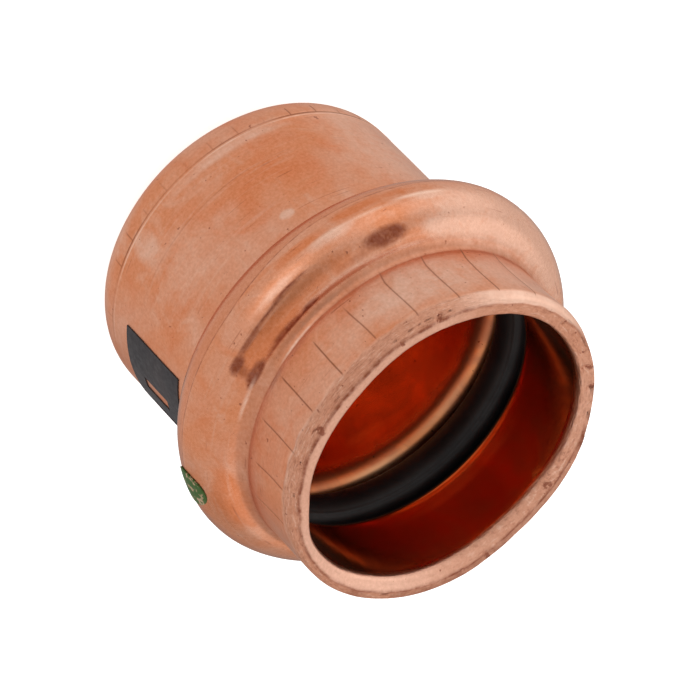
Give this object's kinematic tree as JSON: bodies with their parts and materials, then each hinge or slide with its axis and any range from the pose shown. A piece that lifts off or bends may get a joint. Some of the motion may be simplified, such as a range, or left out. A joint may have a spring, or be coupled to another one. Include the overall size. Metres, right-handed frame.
{
  "type": "press-fit pipe end cap",
  "caption": "Short copper end cap with a press-fit socket: a tube guide, a rolled bead holding a black sealing ring, and a closed end with a rounded edge.",
  "frame": {"origin": "centre of the closed end's flat outer face", "axes": "+Z along the socket's axis, out of its mouth; -Y towards the middle of the marking patch"},
  "size_m": [0.0312, 0.0312, 0.0278],
  "materials": {
    "copper": "satin copper, lightly tarnished",
    "seal_rubber": "smooth, slightly glossy",
    "dark_print": "matte printed film",
    "green_print": "matte printed film"
  },
  "bodies": {
    "root": {"copper_shell": "copper", "seal_ring": "seal_rubber", "marking_patch": "dark_print", "contour_dot": "green_print"}
  },
  "joints": []
}
